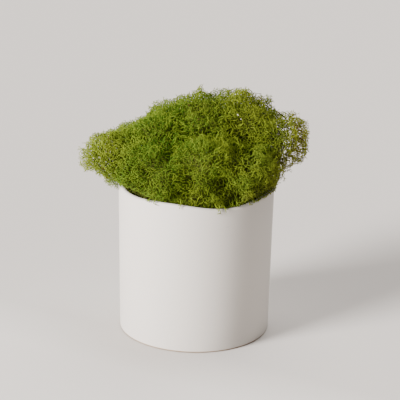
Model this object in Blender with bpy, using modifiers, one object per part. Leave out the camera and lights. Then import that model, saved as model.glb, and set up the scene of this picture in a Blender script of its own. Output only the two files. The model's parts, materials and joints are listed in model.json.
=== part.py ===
"""Moss bowl garden: a white ceramic cylinder pot, a foam block that fills it, and eleven tufts of dyed
reindeer moss heaped on the foam and over the rim.

Units are metres, +Z is up, -Y is the front, and the origin is the centre of the pot's foot, on the table.
"""

import math
import random

import bmesh
import bpy
from mathutils import Matrix, Vector, noise

# Pot
RIM_RADIUS = 0.050
FOOT_RADIUS = 0.0488
POT_HEIGHT = 0.098
WALL = 0.0035
POT_FLOOR = 0.006
FLOOR_FILLET = 0.003
FOOT_CHAMFER = 0.0008
TURN_STEPS = 64
LIP_STEPS = 4
FILLET_STEPS = 2
# The rim is cut by hand: each wave is its count round the rim, its height and the bearing of its crest
RIM_WAVES = ((1, 0.0015, -148), (2, 0.0005, -15), (4, 0.0008, -30), (5, 0.0006, -8))

# Foam block
FIT_GAP = 0.0003
FOAM_TOP_BELOW_RIM = 0.014
FOAM_CHAMFER = 0.0035

# Moss: each tuft is its centre, its reach along X, Y, up and down, how square its lower half is, and its dye
TAPERED = 1.35
ROUND = 1.7
ROOTED = 4.0
TUFTS = {
    "moss_tuft_left": ((-0.046, -0.002, 0.1155), (0.031, 0.027, 0.0175, 0.0240), ROUND, "lime"),
    "moss_tuft_right": ((0.050, 0.000, 0.1265), (0.023, 0.024, 0.0200, 0.0300), TAPERED, "olive"),
    "moss_tuft_crown_left": ((-0.022, 0.005, 0.123), (0.026, 0.027, 0.025, 0.040), ROOTED, "green"),
    "moss_tuft_crown": ((0.004, 0.004, 0.131), (0.026, 0.027, 0.0275, 0.045), ROOTED, "green"),
    "moss_tuft_crown_right": ((0.029, 0.005, 0.130), (0.027, 0.027, 0.0275, 0.045), ROOTED, "lime"),
    "moss_tuft_front_left": ((-0.024, -0.021, 0.109), (0.027, 0.029, 0.023, 0.032), ROOTED, "green"),
    "moss_tuft_front": ((0.003, -0.022, 0.110), (0.027, 0.029, 0.027, 0.033), ROOTED, "lime"),
    "moss_tuft_front_right": ((0.027, -0.019, 0.110), (0.026, 0.030, 0.025, 0.033), ROOTED, "green"),
    "moss_tuft_back_left": ((-0.027, 0.026, 0.112), (0.028, 0.029, 0.027, 0.035), ROOTED, "green"),
    "moss_tuft_back": ((0.001, 0.027, 0.116), (0.028, 0.029, 0.028, 0.040), ROOTED, "lime"),
    "moss_tuft_back_right": ((0.029, 0.026, 0.114), (0.028, 0.029, 0.027, 0.037), ROOTED, "olive"),
}
TOP_SQUARENESS = 2.3
LUMP_SIZE = 0.012
LUMP_HEIGHT = 0.14
CORE_SUBDIVISIONS = 3
CORE_ROUGHNESS = 0.0018
CELL_MARGIN = 0.00015
OVERHANG_SLOPE = 0.35
DRAW_SEED = 7

# Branchlets that stand out of each tuft's core
SPRIG_SPACING = 0.0076
SPRIG_RISE = 0.0050
SPRIG_LEAST_RISE = 0.0028
SPRIG_ROOT_DEPTH = 0.0036
SPRIG_LEAN = 0.16
STEM_RADIUS = 0.00125
STEM_TAPER = 0.8
TINE_SHARE = 0.52
TINE_SPREAD = 0.75
TINE_ROOM = 0.0032

DYES = {
    "green": (0.10, 0.22, 0.012, 1.0),
    "lime": (0.22, 0.32, 0.018, 1.0),
    "olive": (0.17, 0.20, 0.016, 1.0),
}

INNER_RIM_RADIUS = RIM_RADIUS - WALL
INNER_FOOT_RADIUS = FOOT_RADIUS - WALL
FOAM_TOP = POT_HEIGHT - FOAM_TOP_BELOW_RIM
GOLDEN_ANGLE = math.pi * (3 - math.sqrt(5))


def clear_scene():
    for old in list(bpy.data.objects):
        bpy.data.objects.remove(old, do_unlink=True)


def new_collection(name):
    made = bpy.data.collections.new(name)
    bpy.context.scene.collection.children.link(made)
    return made


def material(name, colour, roughness):
    made = bpy.data.materials.new(name)
    made.use_nodes = True
    shader = made.node_tree.nodes["Principled BSDF"]
    shader.inputs["Base Color"].default_value = colour
    shader.inputs["Roughness"].default_value = roughness
    shader.inputs["Metallic"].default_value = 0.0
    return made


def new_object(name, mesh, collection):
    made = bpy.data.objects.new(name, mesh)
    collection.objects.link(made)
    return made


def apply_modifiers(obj):
    """The object's mesh becomes what its modifiers make of it."""
    graph = bpy.context.evaluated_depsgraph_get()
    mesh = bpy.data.meshes.new_from_object(obj.evaluated_get(graph))
    obj.modifiers.clear()
    old = obj.data
    obj.data = mesh
    bpy.data.meshes.remove(old)


def turned(name, profile, collection, closed=False):
    """A body of revolution from a profile of (radius, height) that runs down its outer side."""
    mesh = bpy.data.meshes.new(name)
    edges = [(i, i + 1) for i in range(len(profile) - 1)]
    if closed:
        edges.append((len(profile) - 1, 0))
    mesh.from_pydata([(radius, 0, height) for radius, height in profile], edges, [])
    obj = new_object(name, mesh, collection)
    screw = obj.modifiers.new("turn", "SCREW")
    screw.axis = "Z"
    screw.angle = math.tau
    screw.steps = screw.render_steps = TURN_STEPS
    screw.use_merge_vertices = True
    screw.merge_threshold = 0.00001
    apply_modifiers(obj)
    return obj


def arc(centre, radius, start, end, steps):
    """Points on an arc in the profile's plane, its angles in degrees."""
    points = []
    for i in range(steps + 1):
        angle = math.radians(start + (end - start) * i / steps)
        points.append((centre[0] + radius * math.cos(angle), centre[1] + radius * math.sin(angle)))
    return points


def rim_wave(x, y):
    """How far the rim stands above its mean height at this bearing, where 0 is the front and 90 is right."""
    bearing = math.atan2(x, -y)
    waves = [height * math.cos(count * (bearing - math.radians(crest))) for count, height, crest in RIM_WAVES]
    return sum(waves)


def wave_the_rim(obj, above):
    """Moves every vertex above this height by the rim's wave."""
    for vertex in obj.data.vertices:
        if vertex.co.z > above:
            vertex.co.z += rim_wave(vertex.co.x, vertex.co.y)


def inner_radius(height):
    """The pot's inner wall widens a little from the foot to the rim."""
    return INNER_FOOT_RADIUS + (INNER_RIM_RADIUS - INNER_FOOT_RADIUS) * height / POT_HEIGHT


def make_pot(collection):
    """The pot: turned, then its rim is moved to the hand-cut wave."""
    lip = WALL / 2
    fillet_centre = (inner_radius(POT_FLOOR) - FLOOR_FILLET, POT_FLOOR + FLOOR_FILLET)
    profile = [(0, POT_FLOOR)]
    profile += arc(fillet_centre, FLOOR_FILLET, -90, 0, FILLET_STEPS)
    profile += arc((RIM_RADIUS - lip, POT_HEIGHT - lip), lip, 180, 0, LIP_STEPS)
    profile += [
        (FOOT_RADIUS, FOOT_CHAMFER),
        (FOOT_RADIUS - FOOT_CHAMFER, 0),
        (0, 0),
    ]
    pot = turned("pot", profile, collection)
    wave_the_rim(pot, POT_HEIGHT - WALL)
    pot.data.materials.append(material("white_ceramic", (0.80, 0.78, 0.75, 1.0), 0.55))
    pot.data.shade_smooth()
    pot.data.set_sharp_from_angle(angle=math.radians(35))


def make_foam(collection):
    """Dry florist's foam, cut to drop into the pot. It carries the moss to just under the rim."""
    bottom = POT_FLOOR + FIT_GAP
    bpy.ops.mesh.primitive_cone_add(
        vertices=TURN_STEPS,
        radius1=inner_radius(bottom) - FIT_GAP,
        radius2=inner_radius(FOAM_TOP) - FIT_GAP,
        depth=FOAM_TOP - bottom,
        location=(0, 0, (FOAM_TOP + bottom) / 2),
    )
    foam = bpy.context.object
    foam.name = "foam_block"
    for holder in list(foam.users_collection):
        holder.objects.unlink(foam)
    collection.objects.link(foam)
    shape = bmesh.new()
    shape.from_mesh(foam.data)
    lower = [e for e in shape.edges if all(v.co.z < 0 for v in e.verts)]
    bmesh.ops.bevel(shape, geom=lower, offset=FOAM_CHAMFER, segments=1, affect="EDGES")
    shape.to_mesh(foam.data)
    shape.free()
    foam.data.materials.append(material("dry_foam", (0.10, 0.16, 0.06, 1.0), 0.95))


def make_pot_clearance(collection):
    """The pot's wall, a fit's gap larger, and the space under a slope that falls outward from the rim."""
    top = POT_HEIGHT + FIT_GAP
    low = FOAM_TOP / 2
    inside = inner_radius(low) - FIT_GAP
    far = 2 * RIM_RADIUS
    profile = [
        (inside, low),
        (inside, top),
        (RIM_RADIUS + FIT_GAP, top),
        (far, top - RIM_RADIUS * OVERHANG_SLOPE),
        (far, low),
    ]
    clearance = turned("pot_clearance", profile, collection, closed=True)
    wave_the_rim(clearance, POT_HEIGHT)
    clearance.hide_render = True
    clearance.display_type = "WIRE"
    return clearance


def is_clear_of_pot(point, margin):
    """True above the foam inside the pot, and above its rim and the slope that falls from it."""
    across = math.hypot(point.x, point.y)
    if across < inner_radius(FOAM_TOP) - margin:
        return point.z > FOAM_TOP + margin
    fall = max(0, across - RIM_RADIUS) * OVERHANG_SLOPE
    return point.z > POT_HEIGHT + rim_wave(point.x, point.y) - fall + margin


class Tuft:
    """One tuft: a rounded head with soft lumps, that gives way to its neighbours along flat planes."""

    def __init__(self, name):
        centre, reach, self.squareness, self.dye = TUFTS[name]
        self.name = name
        self.centre = Vector(centre)
        self.reach = reach
        self.size = (reach[0] * reach[1] * reach[2]) ** (1 / 3)
        self.planes = []

    def meet(self, other):
        """Keeps this tuft on its own side of the plane where the two heads would cross."""
        apart = other.centre - self.centre
        share = (apart.length_squared + self.size**2 - other.size**2) / (2 * apart.length_squared)
        self.planes.append((apart.normalized(), share * apart.length - CELL_MARGIN))

    def head_radius(self, way):
        """From the centre to the twig tips, if the tuft stood alone."""
        is_up = way.z > 0
        power = TOP_SQUARENESS if is_up else self.squareness
        across = math.hypot(way.x / self.reach[0], way.y / self.reach[1])
        along = abs(way.z) / (self.reach[2] if is_up else self.reach[3])
        lump = LUMP_HEIGHT * noise.noise((self.centre + way * self.size) / LUMP_SIZE)
        return (1 + lump) / (across**power + along**power) ** (1 / power)

    def core_radius(self, way):
        """From the centre to the dense part of the head, which fills its room."""
        return min(self.head_radius(way) - SPRIG_RISE, self.room(way))

    def room(self, way):
        """From the centre to the nearest neighbour, or the foam, along this way."""
        nearest = 1.0
        for normal, distance in self.planes:
            facing = way.dot(normal)
            if facing > 1e-6:
                nearest = min(nearest, distance / facing)
        if way.z < -1e-6:
            nearest = min(nearest, (self.centre.z - FOAM_TOP - FIT_GAP) / -way.z)
        return nearest

    def bent_clear(self, point, room):
        """A branchlet's root or tip, moved out of its neighbours' room and up off the foam and the rim."""
        for normal, distance in self.planes:
            over = normal.dot(point - self.centre) - distance + room
            point = point - normal * max(0, over)
        point.z = max(point.z, FOAM_TOP + FIT_GAP + room)
        if math.hypot(point.x, point.y) > INNER_RIM_RADIUS - room and point.z > POT_HEIGHT:
            point.z = max(point.z, POT_HEIGHT + rim_wave(point.x, point.y) + room)
        return point


def make_core(tuft, collection, draw):
    """The dense part of a tuft, with a rough surface which its branchlets stand out of."""
    bpy.ops.mesh.primitive_ico_sphere_add(subdivisions=CORE_SUBDIVISIONS, radius=1.0)
    core = bpy.context.object
    core.name = tuft.name
    for holder in list(core.users_collection):
        holder.objects.unlink(core)
    collection.objects.link(core)
    for vertex in core.data.vertices:
        way = vertex.co.normalized()
        rough = draw.uniform(0, CORE_ROUGHNESS)
        vertex.co = tuft.centre + way * min(tuft.head_radius(way) - SPRIG_RISE - rough, tuft.room(way))
    return core


def sprig(name, root, tip, turn, collection):
    """A branchlet: a three-sided stem whose end opens into three pointed tines."""
    along = tip - root
    tine = TINE_SHARE * along.length
    stem = along.length - tine
    shape = bmesh.new()
    bmesh.ops.create_cone(
        shape,
        cap_ends=True,
        segments=3,
        radius1=STEM_RADIUS,
        radius2=STEM_RADIUS * STEM_TAPER,
        depth=stem,
        matrix=Matrix.Translation((0, 0, stem / 2)),
    )
    top = [f for f in shape.faces if f.normal.z > 0.9]
    opened = bmesh.ops.poke(shape, faces=top)["faces"]
    for point in bmesh.ops.poke(shape, faces=opened)["verts"]:
        outward = Vector((point.co.x, point.co.y, 0)).normalized()
        point.co += outward * tine * TINE_SPREAD + Vector((0, 0, tine))
    stand = along.to_track_quat("Z", "X").to_matrix().to_4x4()
    shape.transform(Matrix.Translation(root) @ stand @ Matrix.Rotation(turn, 4, "Z"))
    mesh = bpy.data.meshes.new(name)
    shape.to_mesh(mesh)
    shape.free()
    return new_object(name, mesh, collection)


def fibonacci_way(index, count):
    """Evenly spread directions on a sphere."""
    height = 1 - 2 * (index + 0.5) / count
    across = math.sqrt(1 - height * height)
    angle = GOLDEN_ANGLE * index
    return Vector((across * math.cos(angle), across * math.sin(angle), height))


def make_sprigs(tuft, collection, draw):
    """Branchlets on every side of the tuft that has room for them."""
    made = []
    count = round(4 * math.pi * (tuft.size / SPRIG_SPACING) ** 2)
    for index in range(count):
        turn = draw.uniform(0, math.tau)
        lean = Vector([draw.uniform(-SPRIG_LEAN, SPRIG_LEAN) for axis in range(3)])
        way = fibonacci_way(index, count)
        core_at = tuft.core_radius(way)
        if core_at > tuft.room(way) - CELL_MARGIN:
            continue
        tip_way = (way + lean).normalized()
        tip = tuft.bent_clear(tuft.centre + tip_way * tuft.head_radius(tip_way), TINE_ROOM)
        out = tip - tuft.centre
        if out.length < tuft.core_radius(out.normalized()) + SPRIG_LEAST_RISE:
            continue
        root = tuft.bent_clear(tuft.centre + way * (core_at - SPRIG_ROOT_DEPTH), STEM_RADIUS)
        if all(is_clear_of_pot(point, CELL_MARGIN) for point in (root.lerp(tip, 0.5), tip)):
            made.append(sprig(f"{tuft.name}_sprig_{index}", root, tip, turn, collection))
    return made


def join_to(core, collection, solver):
    """Fuses every object of the collection with the core."""
    union = core.modifiers.new("join", "BOOLEAN")
    union.operation = "UNION"
    union.operand_type = "COLLECTION"
    union.collection = collection
    union.solver = solver
    apply_modifiers(core)


def cut_by(core, cutter, solver):
    """Takes the cutter's space out of the core."""
    difference = core.modifiers.new("cut", "BOOLEAN")
    difference.operation = "DIFFERENCE"
    difference.object = cutter
    difference.solver = solver
    apply_modifiers(core)


def drop_scraps(obj):
    """Keeps the largest connected piece of the mesh."""
    shape = bmesh.new()
    shape.from_mesh(obj.data)
    left = set(shape.verts)
    groups = []
    while left:
        group = set()
        edge = [left.pop()]
        while edge:
            vertex = edge.pop()
            group.add(vertex)
            for link in vertex.link_edges:
                other = link.other_vert(vertex)
                if other in left:
                    left.discard(other)
                    edge.append(other)
        groups.append(group)
    groups.sort(key=len)
    for group in groups[:-1]:
        bmesh.ops.delete(shape, geom=list(group), context="VERTS")
    shape.to_mesh(obj.data)
    shape.free()


def make_moss(collection, clearance):
    """Every tuft: its core and branchlets fused, then cut clear of the pot."""
    tufts = [Tuft(name) for name in TUFTS]
    for tuft in tufts:
        for other in tufts:
            if other is not tuft:
                tuft.meet(other)
    dyes = {dye: material(f"moss_{dye}", colour, 0.8) for dye, colour in DYES.items()}
    draw = random.Random(DRAW_SEED)
    for tuft in tufts:
        core = make_core(tuft, collection, draw)
        sprigs = new_collection(f"{tuft.name}_sprigs")
        made = make_sprigs(tuft, sprigs, draw)
        join_to(core, sprigs, "MANIFOLD")
        for branchlet in made:
            bpy.data.objects.remove(branchlet, do_unlink=True)
        bpy.data.collections.remove(sprigs)
        cut_by(core, clearance, "MANIFOLD")
        drop_scraps(core)
        core.data.materials.clear()
        core.data.materials.append(dyes[tuft.dye])
        print(tuft.name, len(made), "sprigs", len(core.data.polygons), "faces")


clear_scene()
parts = new_collection("moss_bowl_garden")
cutters = new_collection("cutters")
make_pot(parts)
make_foam(parts)
make_moss(parts, make_pot_clearance(cutters))
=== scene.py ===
"""Moss bowl garden: a white cylinder pot heaped with dyed reindeer moss, on a pale floor in soft light."""

import json
import math
import random

import bmesh
import bpy
import numpy as np
from mathutils import Matrix, Quaternion, Vector, noise

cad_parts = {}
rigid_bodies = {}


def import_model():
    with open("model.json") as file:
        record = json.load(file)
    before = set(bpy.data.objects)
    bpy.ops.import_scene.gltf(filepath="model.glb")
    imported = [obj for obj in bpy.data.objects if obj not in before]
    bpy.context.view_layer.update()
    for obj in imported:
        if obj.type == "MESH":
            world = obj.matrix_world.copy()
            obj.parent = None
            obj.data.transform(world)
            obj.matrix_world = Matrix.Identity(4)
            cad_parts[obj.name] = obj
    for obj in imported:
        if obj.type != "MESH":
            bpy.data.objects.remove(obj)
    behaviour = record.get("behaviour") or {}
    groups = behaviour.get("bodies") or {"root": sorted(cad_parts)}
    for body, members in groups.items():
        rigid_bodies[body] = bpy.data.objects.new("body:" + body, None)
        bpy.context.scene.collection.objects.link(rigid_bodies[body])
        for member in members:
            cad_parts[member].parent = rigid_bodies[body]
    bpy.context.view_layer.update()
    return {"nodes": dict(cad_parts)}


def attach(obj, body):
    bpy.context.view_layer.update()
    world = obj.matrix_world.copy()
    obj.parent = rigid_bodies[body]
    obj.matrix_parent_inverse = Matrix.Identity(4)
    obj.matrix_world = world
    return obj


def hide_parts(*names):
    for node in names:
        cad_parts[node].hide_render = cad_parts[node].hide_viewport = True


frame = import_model()


# Pot
# A slip-cast cylinder of matte white ceramic. Its rim was trimmed by hand, so it rises and dips a little,
# and its foot stands bare of slip on the table. The bare foot is painted dark, partly as painted shade: the
# thin contact shadow where the pot meets the table.
RIM_RADIUS = 0.050
FOOT_RADIUS = 0.0488
POT_HEIGHT = 0.098
WALL = 0.0035
POT_FLOOR = 0.006
# Each wave of the rim is its count, its height and the bearing of its crest
RIM_WAVES = ((1, 0.0015, -148), (2, 0.0005, -15), (4, 0.0008, -30), (5, 0.0006, -8))
FLOOR_FILLET = 0.003
FOOT_ROUNDING = 0.0008
# Each of the lip's two roundings takes a hair less than half of the wall
LIP_ROUNDING = WALL / 2 * 0.999
SMOOTH_ANGLE = math.radians(40)
TURN_STEPS = 192
# How near a ring an edge lies to be part of it, and how near each other two points merge
RING_REACH = 0.0002
MERGE_REACH = 0.00001
SLIP_SHADES = ((0.630, 0.601, 0.562, 1), (0.662, 0.632, 0.594, 1))
# Bare clay at the foot, its dark tone partly painted shade: the contact shadow along the table
BARE_CLAY_AND_CONTACT_SHADE = (0.30, 0.21, 0.13, 1)
# A faint flat mark on the front, below the lip
MARK = (0.0196, -0.0457, 0.0838)
MARK_GREY = (0.54, 0.52, 0.49, 1)
MARK_FLATNESS = 4


def rim_wave(x, y):
    """How far the rim stands above its mean height at this bearing, where 0 is the front and 90 is right."""
    bearing = math.atan2(x, -y)
    waves = [height * math.cos(count * (bearing - math.radians(crest))) for count, height, crest in RIM_WAVES]
    return sum(waves)


def inner_radius(height):
    """The inner wall widens a little from the foot to the rim."""
    return FOOT_RADIUS - WALL + (RIM_RADIUS - FOOT_RADIUS) * height / POT_HEIGHT


def select_ring(radius, height):
    """Selects the pot's edges that run round it at this radius and height."""
    bpy.ops.mesh.select_all(action="DESELECT")
    edit = bmesh.from_edit_mesh(pot.data)
    for edge in edit.edges:
        if all(math.hypot(math.hypot(*v.co.xy) - radius, v.co.z - height) < RING_REACH for v in edge.verts):
            edge.select_set(True)
    bmesh.update_edit_mesh(pot.data)


bpy.ops.object.select_all(action="DESELECT")
bpy.ops.mesh.primitive_cylinder_add(
    vertices=TURN_STEPS, radius=RIM_RADIUS, depth=POT_HEIGHT, location=(0, 0, POT_HEIGHT / 2)
)
pot = bpy.context.object
pot.name = "pot_shell"
bpy.ops.object.transform_apply()
bpy.ops.object.mode_set(mode="EDIT")
bpy.ops.mesh.select_mode(type="EDGE")
select_ring(RIM_RADIUS, 0)
foot_share = FOOT_RADIUS / RIM_RADIUS
bpy.ops.transform.resize(value=(foot_share, foot_share, 1), center_override=(0, 0, 0))
bpy.ops.mesh.select_mode(type="FACE")
bpy.ops.mesh.select_all(action="DESELECT")
edit = bmesh.from_edit_mesh(pot.data)
max(edit.faces, key=lambda face: face.calc_center_median().z).select_set(True)
bmesh.update_edit_mesh(pot.data)
bpy.ops.mesh.inset(thickness=WALL)
bpy.ops.mesh.extrude_region_move(TRANSFORM_OT_translate={"value": (0, 0, POT_FLOOR - POT_HEIGHT)})
floor_share = inner_radius(POT_FLOOR) / (RIM_RADIUS - WALL)
bpy.ops.transform.resize(value=(floor_share, floor_share, 1), center_override=(0, 0, POT_FLOOR))
bpy.ops.mesh.select_mode(type="EDGE")
select_ring(inner_radius(POT_FLOOR), POT_FLOOR)
bpy.ops.mesh.bevel(offset=FLOOR_FILLET, segments=4)
select_ring(FOOT_RADIUS, 0)
bpy.ops.mesh.bevel(offset=FOOT_ROUNDING, segments=4)
for radius in (RIM_RADIUS, RIM_RADIUS - WALL):
    select_ring(radius, POT_HEIGHT)
    bpy.ops.mesh.bevel(offset=LIP_ROUNDING, segments=5)
bpy.ops.mesh.select_all(action="SELECT")
bpy.ops.mesh.remove_doubles(threshold=MERGE_REACH)
bpy.ops.mesh.normals_make_consistent(inside=False)
bpy.ops.object.mode_set(mode="OBJECT")
for vertex in pot.data.vertices:
    if vertex.co.z > POT_HEIGHT - WALL:
        vertex.co.z += rim_wave(vertex.co.x, vertex.co.y)
bpy.ops.object.shade_smooth_by_angle(angle=SMOOTH_ANGLE)


class Wire:
    """An output of a shader node. Sums and products of wires add Math nodes to their material."""

    def __init__(self, socket):
        self.socket = socket

    def node(self, kind, inputs=(), out=0, **settings):
        """Adds a node with its settings and its inputs by name or number, and gives one output."""
        tree = self.socket.id_data
        made = tree.nodes.new(kind)
        for name, value in settings.items():
            setattr(made, name, value)
        for name, value in dict(inputs).items():
            if isinstance(value, Wire):
                tree.links.new(value.socket, made.inputs[name])
            else:
                made.inputs[name].default_value = value
        return Wire(made.outputs[out])

    def maths(self, operation, first, second):
        return self.node("ShaderNodeMath", {0: first, 1: second}, operation=operation)

    def clamped(self):
        return self.node("ShaderNodeClamp", {0: self})

    def mix(self, low, high):
        """Mixes two colours by this wire."""
        return self.node("ShaderNodeMix", {0: self, 6: low, 7: high}, out=2, data_type="RGBA")

    def noise(self, scale, detail=2.0):
        """Noise at this wire's coordinates."""
        return self.node("ShaderNodeTexNoise", {"Vector": self, "Scale": scale, "Detail": detail})

    def axis(self, number):
        """One of this wire's coordinates, where 0 is X, 1 is Y and 2 is Z."""
        return self.node("ShaderNodeSeparateXYZ", {0: self}, out=number)

    def distance(self, spot):
        """How far this wire's coordinates are from a spot."""
        return self.node("ShaderNodeVectorMath", {0: self, 1: spot}, out=1, operation="DISTANCE")

    def __add__(self, other):
        return self.maths("ADD", self, other)

    def __sub__(self, other):
        return self.maths("SUBTRACT", self, other)

    def __mul__(self, other):
        return self.maths("MULTIPLY", self, other)

    __radd__ = __add__
    __rmul__ = __mul__

    def __rsub__(self, other):
        return self.maths("SUBTRACT", other, self)


def new_material(name):
    """A Principled material, its shader, and a wire of its Object coordinates."""
    material = bpy.data.materials.new(name)
    material.use_nodes = True
    shader = material.node_tree.nodes["Principled BSDF"]
    place = Wire(shader.outputs[0]).node("ShaderNodeTexCoord", out="Object")
    return material, shader, place


def drive(shader, name, wire):
    """Links a wire to one of the shader's inputs."""
    shader.id_data.links.new(wire.socket, shader.inputs[name])


slip, shader, place = new_material("white_slip")
shader.inputs["Specular IOR Level"].default_value = 0.25
# Painted shade: the bare foot ring is as dark as the contact shadow where the pot stands on the table
foot = (4.0 - place.axis(2) * 4000.0).clamped()
body = place.noise(22.0, 3.0).mix(*SLIP_SHADES)
stretched = place.node("ShaderNodeVectorMath", {0: place, 1: (1, 1, MARK_FLATNESS)}, operation="MULTIPLY")
away = stretched.distance((MARK[0], MARK[1], MARK[2] * MARK_FLATNESS))
body = (1.0 - away * 600.0).clamped().mix(body, MARK_GREY)
drive(shader, "Base Color", foot.mix(body, BARE_CLAY_AND_CONTACT_SHADE))
grain = place.noise(900.0, 4.0)
drive(shader, "Roughness", 0.5 + 0.12 * grain)
skin = place.noise(160.0, 3.0) * 0.6 + grain * 0.4
drive(shader, "Normal", place.node("ShaderNodeBump", {"Strength": 0.12, "Distance": 0.0004, "Height": skin}))
pot.data.materials.append(slip)
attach(pot, "root")
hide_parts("pot")


# Foam block
# A block of dry green floral foam, cut round to drop into the pot. It's foamed resin with open cells,
# so its face is a fine crumb.
FOAM_SHADES = ((0.02, 0.035, 0.012, 1), (0.10, 0.15, 0.05, 1))
foam, shader, place = new_material("dry_foam_cells")
shader.inputs["Roughness"].default_value = 0.95
crumb = place.noise(1400.0, 3.0)
drive(shader, "Base Color", crumb.mix(*FOAM_SHADES))
drive(shader, "Normal", place.node("ShaderNodeBump", {"Strength": 0.6, "Distance": 0.0005, "Height": crumb}))
frame["nodes"]["foam_block"].data.materials.clear()
frame["nodes"]["foam_block"].data.materials.append(foam)


# Moss tufts
# Reindeer moss is a lichen that forks again and again into a springy tangle of round twigs, with short
# pointed tines at its tips. It's dyed green, dried, and pinned to the foam tuft by tuft.
# Each tuft is its centre, its reach along X, Y, up and down, how square its lower half is, and its dye
TAPERED = 1.35
ROUND = 1.7
ROOTED = 4.0
TUFTS = {
    "moss_tuft_left": ((-0.046, -0.002, 0.1155), (0.031, 0.027, 0.0175, 0.0240), ROUND, "lime"),
    "moss_tuft_right": ((0.050, 0.000, 0.1265), (0.023, 0.024, 0.0200, 0.0300), TAPERED, "olive"),
    "moss_tuft_crown_left": ((-0.022, 0.005, 0.123), (0.026, 0.027, 0.025, 0.040), ROOTED, "green"),
    "moss_tuft_crown": ((0.004, 0.004, 0.131), (0.026, 0.027, 0.0275, 0.045), ROOTED, "green"),
    "moss_tuft_crown_right": ((0.029, 0.005, 0.130), (0.027, 0.027, 0.0275, 0.045), ROOTED, "lime"),
    "moss_tuft_front_left": ((-0.024, -0.021, 0.109), (0.027, 0.029, 0.023, 0.032), ROOTED, "green"),
    "moss_tuft_front": ((0.003, -0.022, 0.110), (0.027, 0.029, 0.027, 0.033), ROOTED, "lime"),
    "moss_tuft_front_right": ((0.027, -0.019, 0.110), (0.026, 0.030, 0.025, 0.033), ROOTED, "green"),
    "moss_tuft_back_left": ((-0.027, 0.026, 0.112), (0.028, 0.029, 0.027, 0.035), ROOTED, "green"),
    "moss_tuft_back": ((0.001, 0.027, 0.116), (0.028, 0.029, 0.028, 0.040), ROOTED, "lime"),
    "moss_tuft_back_right": ((0.029, 0.026, 0.114), (0.028, 0.029, 0.027, 0.037), ROOTED, "olive"),
}
# Swells and hollows of the heap, each its place, how wide it is and how high it stands
SWELLS = (
    ((-0.053, -0.019, 0.102), 0.006, 0.0020),
    ((-0.021, 0.010, 0.147), 0.005, 0.0015),
    ((0.0, 0.003, 0.157), 0.0065, 0.0026),
    ((0.028, 0.006, 0.156), 0.010, 0.0020),
    ((0.057, 0.004, 0.145), 0.006, 0.0030),
    ((-0.039, 0.004, 0.142), 0.006, -0.0070),
    ((-0.039, 0.028, 0.135), 0.008, -0.0080),
    ((-0.062, -0.002, 0.131), 0.006, -0.0030),
    ((-0.081, -0.002, 0.114), 0.005, 0.0030),
    ((-0.074, -0.004, 0.128), 0.005, -0.0025),
    ((-0.072, -0.006, 0.104), 0.006, 0.0030),
    ((-0.075, -0.004, 0.120), 0.005, 0.0012),
    ((0.039, 0.001, 0.157), 0.005, -0.0055),
    ((0.0085, 0.005, 0.158), 0.0045, -0.0130),
    ((0.046, 0.004, 0.153), 0.005, -0.0030),
    ((0.053, 0.008, 0.147), 0.005, -0.0065),
    ((0.073, -0.002, 0.130), 0.007, -0.0015),
    ((0.067, -0.003, 0.117), 0.005, 0.0030),
    ((0.060, -0.002, 0.142), 0.005, 0.0015),
    ((0.046, -0.028, 0.103), 0.007, 0.0030),
    ((-0.045, -0.028, 0.101), 0.006, 0.0025),
    ((-0.063, -0.004, 0.101), 0.006, -0.0045),
    ((-0.028, -0.003, 0.146), 0.004, -0.0025),
    ((-0.077, -0.002, 0.117), 0.006, -0.0030),
    ((0.058, -0.012, 0.108), 0.009, -0.0030),
    ((-0.064, -0.018, 0.110), 0.008, -0.0025),
    ((-0.019, -0.037, 0.125), 0.006, -0.0060),
    ((-0.036, -0.043, 0.108), 0.005, -0.0050),
    ((0.030, -0.022, 0.133), 0.005, -0.0020),
    ((0.023, -0.038, 0.127), 0.005, -0.0030),
    ((0.014, -0.045, 0.111), 0.005, -0.0050),
    ((0.022, -0.045, 0.104), 0.007, -0.0050),
    ((0.040, -0.041, 0.107), 0.006, -0.0040),
    ((-0.009, -0.031, 0.132), 0.006, -0.0035),
    ((-0.006, -0.044, 0.125), 0.005, -0.0025),
    ((-0.004, -0.048, 0.116), 0.005, -0.0025),
    ((0.031, -0.039, 0.127), 0.006, -0.0040),
    ((-0.027, -0.045, 0.122), 0.005, -0.0030),
    ((-0.050, -0.024, 0.124), 0.005, -0.0030),
    ((-0.043, -0.017, 0.130), 0.005, -0.0030),
    ((0.024, -0.047, 0.103), 0.005, -0.0025),
    ((0.003, -0.015, 0.150), 0.006, 0.0015),
    ((0.016, -0.018, 0.138), 0.005, 0.0015),
    ((-0.020, -0.047, 0.109), 0.005, 0.0020),
    ((0.009, -0.047, 0.110), 0.005, 0.0020),
    ((0.045, -0.036, 0.114), 0.006, 0.0020),
)
TOP_SQUARENESS = 2.3
BLEND = 0.0022
TRIM = 0.0022
LUMP_SIZE = 0.012
LUMP_HEIGHT = 0.0034
KNOB_SIZE = 0.0048
KNOB_HEIGHT = 0.0026
# Tufts whose centres are this close meet along a plane, and their twigs interlace by the slack on each side
NEIGHBOURS = 0.062
SEAM_SLACK = 0.0016
FOAM_TOP = 0.084
TWIG_CLEARANCE = 0.0006
LIP_CLEARANCE = 0.0004
# Bearings at which the moss stands back from the lip, and how high above it
BARE_LIP = (-80, -45)
BARE_LIP_CLEARANCE = 0.0030
# The moss rises steeply past the lip at the front, and at the sides and back it leans out a little below it
FRONT_SHARE = 0.25
FRONT_RISE = 1.2
SIDE_DROP = 0.0035
SIDE_RISE = 0.35
# How deep the core lies, how far it keeps from the wall, how high above the lip and from how far back it may
# cross it, and where it ends to the right
CORE_DEPTH = 0.0095
CORE_TO_WALL = 0.0060
CORE_OVER_LIP = 0.0060
CORE_CROSSES_FROM = 0.008
CORE_RIGHT_END = 0.051
# Between these distances from its centre a tuft's core ends, this far short of the next tuft's half
CORE_RANGE = (0.001, 0.06)
CORE_HALVINGS = 10
CORE_SEAM = -0.0004
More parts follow.
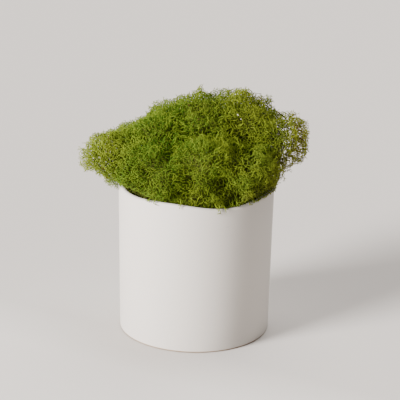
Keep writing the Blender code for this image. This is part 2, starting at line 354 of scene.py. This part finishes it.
# The see-through gaps: the middle and half width of their part of the right lobe, where their part of the
# left lobe ends, how wide and long they are, how steeply they run down, and how rare they are
RIGHT_GAPS = (0.058, 0.009)
LEFT_GAPS = -0.066
GAP_WIDTH = 0.0029
GAP_LENGTH = 0.02
GAP_SLOPE = 0.37
GAP_LEVEL = 0.25
# Spacing, length and thickness of the twigs by depth below the tips
DEPTHS = (0.0, 0.0035, 0.010)
SPACING = (0.00130, 0.00125, 0.0019)
LENGTH = (0.0018, 0.0019, 0.0026)
THICKNESS = (0.00019, 0.00023, 0.00034)
TIP_THICKNESS = 0.00016
FORK = (0.88, 0.80, 0.50)
# How far the lengths and angles differ, how often a twig forks into one, two or three, how far the plane of
# a fork turns from its parent's, and how far and how many times a fork turns to find room
LENGTH_SPREAD = (0.75, 1.3)
ANGLE_SPREAD = (0.75, 1.15)
FORK_COUNTS = (1, 2, 3)
FORK_ODDS = (0.06, 0.74, 0.20)
PLANE_TURN = 0.6
ROOM_TURN = (0.5, 1.2)
ROOM_TRIES = 3
# Twigs bend outwards below, and flatten out at the tips
OUTWARD_BEND = 0.25
TIP_FLATTENING = 0.3
# The first twigs stand this far apart on the core, where the point this far above it is in their own tuft.
# Each family of twigs ends between these depths below the tips, and its children drift from that depth
SEED_SPACING = 0.0024
SEED_LIFT = 0.001
SEED_SEAM = -0.0003
FAMILY_DEPTHS = (-0.0006, 0.0030)
FAMILY_DRIFT = 0.0005
# The grid in which the twigs look for their neighbours
CROWD_CELL = 0.0011
# How often the twigs that have fewer than two children try once more, and at which angles
LATE_ROUNDS = 5
LATE_ANGLES = (0.6, 1.4)
# How many times the spacing above the twigs stand apart, by their place from left to right
OPEN_AT = (-0.074, -0.064, -0.056, -0.046, 0.047, 0.057, 0.067)
OPENNESS = (1.15, 1.0, 0.90, 1.0, 1.0, 1.06, 1.05)
# Shoots that stand out from the heap: how many, how deep they may start, in how many steps they grow, their
# angles, lengths and lift, and how far out they get
STRAYS = 380
OUTERMOST = 0.0020
STRAY_STEPS = (1, 2, 2)
STRAY_ANGLES = (0.45, 0.75)
STRAY_LENGTHS = (0.0012, 0.0019)
STRAY_LIFT = 0.25
STRAY_REACH = 0.0020
# The two tines at each tip, down to this depth below the heap's surface
TINE_ANGLES = (0.5, 0.9)
TINE_LENGTHS = (0.0008, 0.0014)
TINE_POINT = 0.00012
TINE_DEPTH = 0.005
# Shoots that hang over the lip, each its bearing and how far it hangs
OVER_LIP = ((-37, 0.0002), (-35, 0.0), (-31, 0.0008), (-13, 0.0010), (13, 0.0006), (18, 0.0018), (21, 0.0010))
# Bearings between which short shoots lie close together on the lip, how far apart, and how far they hang
LIP_FRINGE = (42, 84, 2)
FRINGE_DROPS = (-0.0010, 0.0001)
# Such a shoot passes these points, each how far past the rim it lies and how high above the lip, and ends a
# little further out. It wanders round the lip, and its last two points fork outwards and down
HANGING_LINE = ((-0.006, 0.004), (-0.0018, 0.0018), (0.0008, 0.0008))
HANGING_END = 0.0010
HANGING_WANDER = 0.02
HANGING_FORK = 0.025
HANGING_FORK_REACH = (0.0008, 0.0018)
HANGING_FORK_DROP = 0.0004
HANGING_THICKNESS = 0.00028
# Bark and needle bits caught in the moss: how many small ones, and both ends of those that the photograph
# shows
LITTER = 30
LITTER_SIZE = 0.0010
BIT_THICKNESS = [0.00034, 0.00026]
BARK = (
    ((0.0615, -0.0145, 0.1400), (0.0655, -0.0150, 0.1365)),
    ((0.0635, -0.0160, 0.1335), (0.0670, -0.0160, 0.1315)),
    ((-0.0590, -0.0260, 0.1145), (-0.0572, -0.0262, 0.1132)),
    ((-0.0570, -0.0225, 0.1075), (-0.0555, -0.0228, 0.1062)),
    ((0.0385, -0.0040, 0.1560), (0.0402, -0.0040, 0.1540)),
    ((0.0500, -0.0060, 0.1475), (0.0522, -0.0062, 0.1458)),
)
# Pale flecks in the moss, each one end and the other
FLECKS = (
    ((0.0245, -0.0172, 0.1482), (0.0254, -0.0174, 0.1472)),
    ((0.0266, -0.0186, 0.1457), (0.0270, -0.0187, 0.1451)),
)
TWIG_SIDES = 3
MOSS_GREEN = (0.087, 0.166, 0.013, 1)
RIGHT_OLIVE = (0.158, 0.176, 0.021, 1)
LEFT_LIME = (0.290, 0.350, 0.036, 1)
# The greenest part of the heap
GREENEST = (-0.020, -0.014, 0.125)
FRESH_GREEN = (0.050, 0.158, 0.011, 1)
RIGHT_TIP_GOLD = (0.220, 0.202, 0.028, 1)
# Colour of the pale tips, partly their own tone and partly painted light on the outermost twigs
TINE_LIME_AND_LIGHT = (0.222, 0.28, 0.022, 1)
# Colour of the deepest twigs, partly their own darker tone and partly painted shade inside the tangle
DEEP_MOSS_AND_SHADE = (0.066, 0.079, 0.011, 1)
BARK_BROWN = (0.060, 0.030, 0.010, 1)
FLECK_WHITE = (0.70, 0.66, 0.60, 1)
draw = random.Random(11)


def is_clear_of_pot(point):
    """True inside the pot and above its rim, and past the lip where the moss leans out."""
    across = math.hypot(point.x, point.y)
    if across < RIM_RADIUS - WALL - TWIG_CLEARANCE:
        return True
    over_rim = point.z - POT_HEIGHT - rim_wave(point.x, point.y)
    if across < RIM_RADIUS + LIP_CLEARANCE:
        bearing = math.degrees(math.atan2(point.x, -point.y))
        return over_rim > (BARE_LIP_CLEARANCE if BARE_LIP[0] < bearing < BARE_LIP[1] else LIP_CLEARANCE)
    if -point.y > FRONT_SHARE * across:
        return over_rim > LIP_CLEARANCE + FRONT_RISE * (across - RIM_RADIUS)
    return over_rim > -SIDE_DROP + SIDE_RISE * (across - RIM_RADIUS)


def is_near_wall(point):
    """True close to the pot's wall, where the core gives way to twigs, but not over the lip at the back."""
    if point.y > CORE_CROSSES_FROM and point.z > POT_HEIGHT + CORE_OVER_LIP:
        return False
    return math.hypot(point.x, point.y) > RIM_RADIUS - WALL - CORE_TO_WALL


def is_gap(point):
    """True in the gaps that let light through the side lobes, which run back and down from the front."""
    if abs(point.x - RIGHT_GAPS[0]) > RIGHT_GAPS[1] and point.x > LEFT_GAPS:
        return False
    height = point.z + point.y * GAP_SLOPE
    return noise.noise(Vector((point.x / GAP_WIDTH, point.y / GAP_LENGTH, height / GAP_WIDTH))) > GAP_LEVEL


def swell_at(point):
    """How much higher the heap stands here. Each swell and hollow is twice as long from front to back."""
    height = 0
    for (x, y, z), width, most in SWELLS:
        away = (point.x - x) ** 2 + ((point.y - y) / 2) ** 2 + (point.z - z) ** 2
        # Past three widths a swell no longer counts
        if away < 9 * width * width:
            height += most * math.exp(-away / (width * width))
    return height


class Tuft:
    """A tuft's head, where its twigs may grow."""

    def __init__(self, name):
        centre, self.reach, self.squareness, self.dye = TUFTS[name]
        self.name = name
        self.centre = Vector(centre)
        self.size = (self.reach[0] * self.reach[1] * self.reach[2]) ** (1 / 3)
        self.planes = []
        self.near = [self]

    def meet(self, other):
        """Splits the heap between two tufts along a flat plane."""
        apart = other.centre - self.centre
        share = (apart.length_squared + self.size**2 - other.size**2) / (2 * apart.length_squared)
        self.planes.append((apart.normalized(), share * apart.length))
        self.near.append(other)

    def own_depth(self, point):
        """How deep the point lies in this tuft's head alone."""
        off = point - self.centre
        is_up = off.z > 0
        power = TOP_SQUARENESS if is_up else self.squareness
        across = math.hypot(off.x / self.reach[0], off.y / self.reach[1])
        along = abs(off.z) / (self.reach[2] if is_up else self.reach[3])
        share = (across**power + along**power) ** (1 / power)
        return off.length * (1 / max(share, 1e-3) - 1)

    def depth(self, point, slack=SEAM_SLACK):
        """How deep the point lies below the heap's tips, or -1 where this tuft has no twig."""
        if point.z < FOAM_TOP + TWIG_CLEARANCE or not is_clear_of_pot(point) or is_gap(point):
            return -1
        off = point - self.centre
        if any(normal.dot(off) > distance + slack for normal, distance in self.planes):
            return -1
        merged = BLEND * math.log(sum(math.exp(tuft.own_depth(point) / BLEND) for tuft in self.near))
        lump = LUMP_HEIGHT * noise.noise(point / LUMP_SIZE) + KNOB_HEIGHT * noise.noise(point / KNOB_SIZE)
        return merged + lump + swell_at(point) - TRIM

    def core_edge(self, way):
        """Where the dense core ends along this direction from the tuft's centre."""
        near, far = CORE_RANGE
        for halving in range(CORE_HALVINGS):
            middle = (near + far) / 2
            point = self.centre + way * middle
            is_open = not is_near_wall(point) and point.x < CORE_RIGHT_END
            if is_open and self.depth(point, CORE_SEAM) > CORE_DEPTH:
                near = middle
            else:
                far = middle
        return self.centre + way * near


class Crowd:
    """Where twigs already are, so that new ones keep their distance."""

    def __init__(self, cell):
        self.cell = cell
        self.points = {}

    def key(self, point):
        return tuple(math.floor(value / self.cell) for value in point)

    def add(self, point):
        self.points.setdefault(self.key(point), []).append(point)

    def has_room(self, point, spacing):
        least = spacing * spacing
        reach = math.ceil(spacing / self.cell)
        i, j, k = self.key(point)
        for x in range(i - reach, i + reach + 1):
            for y in range(j - reach, j + reach + 1):
                for z in range(k - reach, k + reach + 1):
                    for other in self.points.get((x, y, z), ()):
                        if (other - point).length_squared < least:
                            return False
        return True


class Twig:
    """One length of twig, from its parent's end to its own, and how deep its descendants must stay."""

    __slots__ = ("tuft", "parent", "point", "way", "deep", "limit", "children")

    def __init__(self, tuft, parent, point, way, deep, limit):
        self.tuft = tuft
        self.parent = parent
        self.point = point
        self.way = way
        self.deep = deep
        self.limit = limit
        self.children = []


def at_depth(values, deep):
    """A size at this depth below the tips."""
    if deep < DEPTHS[1]:
        share = max(deep, 0) / DEPTHS[1]
        return values[0] + (values[1] - values[0]) * share
    share = min((deep - DEPTHS[1]) / (DEPTHS[2] - DEPTHS[1]), 1)
    return values[1] + (values[2] - values[1]) * share


def openness(point):
    """How many times the usual spacing the twigs stand apart here."""
    return float(np.interp(point.x, OPEN_AT, OPENNESS))


def turned_away(way, angle, round_about, back=None):
    """The direction at this angle to a twig's, turned about it from the way its parent grew."""
    side = (back - way * back.dot(way) if back else way.orthogonal()).normalized()
    side.rotate(Quaternion(way, round_about))
    return (way * math.cos(angle) + side * math.sin(angle)).normalized()


def grow_child(twig, crowd, angle, round_about):
    """Adds a twig at this fork if the tuft has room for it, and gives it or None."""
    way = turned_away(twig.way, angle, round_about, twig.parent and twig.parent.way)
    out = (twig.point - twig.tuft.centre).normalized()
    rise = way.dot(out)
    near_tips = 1 - min(max(twig.deep, 0) / DEPTHS[1], 1)
    bend = OUTWARD_BEND - (OUTWARD_BEND + rise * TIP_FLATTENING) * near_tips
    way = (way + out * bend).normalized()
    point = twig.point + way * at_depth(LENGTH, twig.deep) * draw.uniform(*LENGTH_SPREAD)
    deep = twig.tuft.depth(point)
    if deep < twig.limit or not crowd.has_room(point, at_depth(SPACING, deep) * openness(point)):
        return None
    limit = min(max(twig.limit + draw.gauss(0, FAMILY_DRIFT), FAMILY_DEPTHS[0]), FAMILY_DEPTHS[1])
    child = Twig(twig.tuft, twig, point, way, deep, limit)
    twig.children.append(child)
    crowd.add(point)
    return child


def grow(front, crowd, twigs):
    """Lets every twig of the front fork, and its children after it, until no tuft has room."""
    while front:
        draw.shuffle(front)
        fresh = []
        for twig in front:
            forks = draw.choices(FORK_COUNTS, FORK_ODDS)[0]
            round_about = draw.gauss(0, PLANE_TURN)
            for fork in range(forks):
                for attempt in range(ROOM_TRIES):
                    angle = at_depth(FORK, twig.deep) * draw.uniform(*ANGLE_SPREAD)
                    child = grow_child(twig, crowd, angle, round_about + math.tau * fork / forks)
                    if child:
                        fresh.append(child)
                        break
                    round_about += draw.uniform(*ROOM_TURN)
        twigs += fresh
        front = fresh


tufts = [Tuft(name) for name in TUFTS]
for tuft in tufts:
    for other in tufts:
        if other is not tuft and (other.centre - tuft.centre).length < NEIGHBOURS:
            tuft.meet(other)
cores = {}
crowd = Crowd(CROWD_CELL)
twigs = []
for tuft in tufts:
    bpy.ops.object.select_all(action="DESELECT")
    bpy.ops.mesh.primitive_ico_sphere_add(subdivisions=4, radius=1)
    core = cores[tuft.name] = bpy.context.object
    for vertex in core.data.vertices:
        way = vertex.co.normalized()
        vertex.co = tuft.core_edge(way)
        point = Vector(vertex.co)
        deep = tuft.depth(point + way * SEED_LIFT, SEED_SEAM)
        if deep > 0 and crowd.has_room(point, SEED_SPACING):
            twigs.append(Twig(tuft, None, point, way, deep, draw.uniform(*FAMILY_DEPTHS)))
            crowd.add(point)
grow(list(twigs), crowd, twigs)
for late in range(LATE_ROUNDS):
    bare = [twig for twig in twigs if len(twig.children) < 2]
    fresh = []
    for twig in bare:
        child = grow_child(twig, crowd, draw.uniform(*LATE_ANGLES), draw.uniform(0, math.tau))
        if child:
            fresh.append(child)
    twigs += fresh
    grow(fresh, crowd, twigs)
outer = [twig for twig in twigs if twig.deep < OUTERMOST]
for root in draw.sample(outer, STRAYS):
    shoots = [root]
    for step in range(draw.choice(STRAY_STEPS)):
        fresh = []
        for shoot in shoots:
            round_about = draw.uniform(0, math.tau)
            for fork in (0, math.pi):
                way = turned_away(shoot.way, draw.uniform(*STRAY_ANGLES), round_about + fork)
                way = (way + (shoot.point - root.tuft.centre).normalized() * STRAY_LIFT).normalized()
                point = shoot.point + way * draw.uniform(*STRAY_LENGTHS)
                deep = root.tuft.depth(point)
                if deep > -STRAY_REACH:
                    child = Twig(root.tuft, shoot, point, way, deep, 0)
                    shoot.children.append(child)
                    fresh.append(child)
        twigs += fresh
        shoots = fresh
litter = list(BARK)
for twig in draw.sample(outer, LITTER):
    end = twig.point + Vector([draw.gauss(0, LITTER_SIZE) for axis in range(3)])
    if is_clear_of_pot(end):
        litter.append((twig.point, end))
over_lip = list(OVER_LIP)
for bearing in range(*LIP_FRINGE):
    over_lip.append((bearing + draw.uniform(-1, 1), draw.uniform(*FRINGE_DROPS)))
hanging = []
for bearing, drop in over_lip:
    turn = math.radians(bearing)
    lip_z = POT_HEIGHT + rim_wave(math.sin(turn), -math.cos(turn))
    line = []
    for across, above in (*HANGING_LINE, (HANGING_END, -drop)):
        turn += draw.uniform(-HANGING_WANDER, HANGING_WANDER)
        reach = RIM_RADIUS + across
        line.append(Vector((reach * math.sin(turn), -reach * math.cos(turn), lip_z + above)))
    hanging.append(line)
    for end in (line[2], line[3]):
        turn += draw.choice((-HANGING_FORK, HANGING_FORK))
        reach = RIM_RADIUS + draw.uniform(*HANGING_FORK_REACH)
        tip = Vector((reach * math.sin(turn), -reach * math.cos(turn), end.z - HANGING_FORK_DROP))
        hanging.append([end, tip])


def moss_material(name, own):
    """Dyed lichen: greenest left of the middle, olive to the right, dark below and pale at the tips. The dark
    below is partly painted shade and the pale tips are partly painted light.
    """
    material, shader, place = new_material(name)
    shader.inputs["Roughness"].default_value = 0.8
    shader.inputs["Specular IOR Level"].default_value = 0.08
    age = place.node("ShaderNodeAttribute", attribute_name="age", out=2)
    tint = place.node("ShaderNodeAttribute", attribute_name="tint", out=2)
    across = place.axis(0)
    height = place.axis(2)
    cloud = place.noise(42.0, 2.0) - 0.5
    low = ((0.113 - height) * 25.0).clamped()
    high = ((height - 0.143) * 45.0).clamped()
    to_right = (across * 12.0 - 0.05 + low + high + cloud * 1.6).clamped()
    to_left = (across * -30.0 - 1.15 + cloud * 1.2).clamped()
    dye = to_right.mix(MOSS_GREEN, RIGHT_OLIVE)
    dye = to_left.mix(dye, LEFT_LIME)
    dye = ((1.5 - place.distance(GREENEST) * 46.0).clamped() * 0.8).mix(dye, FRESH_GREEN)
    to_tip = (across * 45.0 - height * 30.0 + 1.85 + cloud).clamped()
    dye = to_tip.mix(dye, RIGHT_TIP_GOLD)
    dye = place.node("ShaderNodeMix", {0: 0.25, 6: dye, 7: own}, out=2, data_type="RGBA")
    # Painted light, in part: the outermost twigs turn paler, beside their own paler tips
    pale_tips_and_light = (tint * 0.5 + age * 2.2 - 1.86 + cloud * 0.8).clamped() * 0.85
    dye = pale_tips_and_light.mix(dye, TINE_LIME_AND_LIGHT)
    dye = dye.node("ShaderNodeVectorMath", {0: dye, "Scale": tint * 0.32 + 0.79}, operation="SCALE")
    # Painted shade, in part: twigs darken with depth below the tips, less so higher up and towards the side
    # lobes
    depth_dark_and_shade = (age * 2.2 + height * 10.0 - 1.7 + to_left * 0.6 + to_right * 0.15).clamped()
    dye = depth_dark_and_shade.mix(DEEP_MOSS_AND_SHADE, dye)
    is_bark = (tint * -4.0).clamped()
    is_fleck = (tint * -4.0 - 4.0).clamped()
    drive(shader, "Base Color", is_fleck.mix(is_bark.mix(dye, BARK_BROWN), FLECK_WHITE))
    return material


def nearest_tuft(point):
    """The tuft whose centre is nearest."""
    return min(tufts, key=lambda tuft: (tuft.centre - point).length)


DYES = {
    "green": moss_material("moss_green_twigs", (0.070, 0.152, 0.012, 1)),
    "lime": moss_material("moss_lime_twigs", (0.130, 0.190, 0.015, 1)),
    "olive": moss_material("moss_olive_twigs", (0.147, 0.150, 0.017, 1)),
}
outline = bpy.data.curves.new("twig_section", "CURVE")
sides = outline.splines.new("POLY")
sides.points.add(TWIG_SIDES - 1)
sides.use_cyclic_u = True
for side, point in enumerate(sides.points):
    turn = -math.tau * side / TWIG_SIDES
    point.co = (math.cos(turn), math.sin(turn), 0, 1)
section = bpy.data.objects.new("twig_section", outline)
bpy.context.collection.objects.link(section)
for tuft in tufts:
    curve = bpy.data.curves.new(tuft.name + "_twigs", "CURVE")
    curve.dimensions = "3D"
    curve.bevel_mode = "OBJECT"
    curve.bevel_object = section
    lines = []
    for twig in twigs:
        if twig.tuft is not tuft:
            continue
        if not twig.children and twig.deep < TINE_DEPTH:
            turn = draw.uniform(0, math.tau)
            for side in (0, math.pi):
                way = turned_away(twig.way, draw.uniform(*TINE_ANGLES), turn + side)
                end = twig.point + way * draw.uniform(*TINE_LENGTHS)
                tint = draw.random()
                if is_clear_of_pot(end) and end.z > FOAM_TOP:
                    lines.append(([twig.point, end], [TIP_THICKNESS, TINE_POINT], [1.0, 1.0], tint))
        if twig.parent and twig.parent.children[0] is twig:
            continue
        chain = [twig]
        while chain[-1].children:
            chain.append(chain[-1].children[0])
        if twig.parent:
            chain.insert(0, twig.parent)
        if len(chain) > 1:
            thick = [at_depth(THICKNESS, part.deep) for part in chain[1:]]
            thick[-1] = TIP_THICKNESS
            ages = [1 - min(max(part.deep, 0) / DEPTHS[2], 1.0) for part in chain]
            lines.append(([part.point for part in chain], thick[:1] + thick, ages, draw.random()))
    for line in hanging:
        if nearest_tuft(line[-1]) is tuft:
            lines.append((line, [HANGING_THICKNESS] * len(line), [1.0] * len(line), draw.uniform(0.4, 1)))
    for tint, bits in ((-1.0, litter), (-2.0, FLECKS)):
        for line in bits:
            if nearest_tuft(Vector(line[0])) is tuft:
                lines.append((line, BIT_THICKNESS, [1.0, 1.0], tint))
    ages = []
    tints = []
    for places, thick, old, colour in lines:
        spline = curve.splines.new("POLY")
        spline.points.add(len(places) - 1)
        spline.points.foreach_set("co", [value for point in places for value in (*point, 1)])
        spline.points.foreach_set("radius", thick)
        ages += old
        tints += [colour] * len(places)
    holder = bpy.data.objects.new(tuft.name + "_twigs", curve)
    bpy.context.collection.objects.link(holder)
    bpy.ops.object.select_all(action="DESELECT")
    holder.select_set(True)
    bpy.context.view_layer.objects.active = holder
    bpy.ops.object.convert(target="MESH")
    piece = bpy.context.object
    # Age runs from 0 deep down to 1 at the tips. Tint differs from twig to twig, and is -1 on bark and needle
    # bits and -2 on flecks
    for name, values in (("age", ages), ("tint", tints)):
        layer = piece.data.attributes.new(name, "FLOAT", "POINT")
        layer.data.foreach_set("value", np.repeat(np.array(values, dtype=np.float32), TWIG_SIDES))
    bpy.ops.object.mode_set(mode="EDIT")
    bpy.ops.mesh.select_all(action="SELECT")
    bpy.ops.mesh.fill_holes(sides=TWIG_SIDES)
    bpy.ops.object.mode_set(mode="OBJECT")
    piece.data.shade_smooth()
    piece.data.materials.clear()
    piece.data.materials.append(DYES[tuft.dye])
    core = cores[tuft.name]
    core.data.materials.append(DYES[tuft.dye])
    core.select_set(True)
    bpy.ops.object.join()
    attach(piece, "root")
    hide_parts(tuft.name)
bpy.data.objects.remove(section)


# Floor
# A plain sheet of pale warm grey, laid flat with no edge in view. Light is painted on it: its colour is
# painted a little paler to the front left, nearest the light.
PAPER_SHADES = ((0.595, 0.575, 0.556, 1), (0.615, 0.595, 0.576, 1))
PAINTED_LIGHT_PAPER = (0.76, 0.735, 0.71, 1)
bpy.ops.object.select_all(action="DESELECT")
bpy.ops.mesh.primitive_plane_add(size=14, location=(0, 0, 0))
floor = bpy.context.object
floor.name = "floor"
paper, shader, place = new_material("pale_paper")
shader.inputs["Roughness"].default_value = 0.9
# Painted light: the paper turns paler towards the front left, where the light is nearest
near = (place.axis(0) * -10.0 - place.axis(1) * 17.0 - 0.7).clamped()
drive(shader, "Base Color", near.mix(place.noise(1.2, 1.0).mix(*PAPER_SHADES), PAINTED_LIGHT_PAPER))
floor.data.materials.append(paper)


# Light
# A low soft light from the front left, a weaker one from above and behind, and a faint fill all round.
# Each light is its energy, how many degrees wide it is, its bearing from the front and its height in degrees
WARM_WHITE = (1.0, 0.945, 0.90)
FILL_STRENGTH = 0.02
LIGHTS = {
    "key": (11.2, 22, -56, 20.5),
    "overhead": (3.75, 60, 150, 60),
}
for name, (energy, width, bearing, elevation) in LIGHTS.items():
    bearing = math.radians(bearing)
    elevation = math.radians(elevation)
    level = math.cos(elevation)
    way = Vector((level * math.sin(bearing), -level * math.cos(bearing), math.sin(elevation)))
    bpy.ops.object.light_add(type="SUN", location=way * 2)
    light = bpy.context.object
    light.name = name
    light.data.energy = energy
    light.data.angle = math.radians(width)
    light.data.color = WARM_WHITE
    light.rotation_euler = way.to_track_quat("Z", "Y").to_euler()
world = bpy.data.worlds.new("fill")
world.use_nodes = True
world.node_tree.nodes["Background"].inputs["Color"].default_value = (*WARM_WHITE, 1)
world.node_tree.nodes["Background"].inputs["Strength"].default_value = FILL_STRENGTH
bpy.context.scene.world = world


# Camera
# It looks down at the pot from the front, with a long lens and a slight lean to the left.
DISTANCE = 1.0
ELEVATION = math.radians(20.49)
ROLL = math.radians(1.08)
PICTURE_WIDTH = 400
SENSOR_WIDTH = 36
LENS_PIXELS = 1531.5
# The middle of the pot, and how far it stands from the middle of the picture
TARGET = Vector((0, 0, POT_HEIGHT / 2))
TARGET_PIXEL = (195.2 - PICTURE_WIDTH / 2, 253.4 - PICTURE_WIDTH / 2)
bpy.ops.object.camera_add()
camera = bpy.context.object
camera.data.lens = LENS_PIXELS / PICTURE_WIDTH * SENSOR_WIDTH
camera.data.sensor_width = SENSOR_WIDTH
camera.data.clip_start = 0.05
across = math.cos(ROLL) * TARGET_PIXEL[0] + math.sin(ROLL) * TARGET_PIXEL[1]
down = math.cos(ROLL) * TARGET_PIXEL[1] - math.sin(ROLL) * TARGET_PIXEL[0]
raise_by = math.atan2(down, LENS_PIXELS)
turn_by = math.atan2(across, math.hypot(LENS_PIXELS, down))
ahead = Vector((0, math.cos(ELEVATION - raise_by), -math.sin(ELEVATION - raise_by)))
above = Vector((0, math.sin(ELEVATION - raise_by), math.cos(ELEVATION - raise_by)))
beside = Vector((math.cos(turn_by), 0, 0)) + ahead * math.sin(turn_by)
ahead = ahead * math.cos(turn_by) - Vector((math.sin(turn_by), 0, 0))
axes = Matrix((beside, above, -ahead)).transposed() @ Matrix.Rotation(ROLL, 3, "Z")
camera.matrix_world = Matrix.Translation(
    TARGET + DISTANCE * Vector((0, -math.cos(ELEVATION), math.sin(ELEVATION)))
) @ axes.to_4x4()
bpy.context.scene.camera = camera
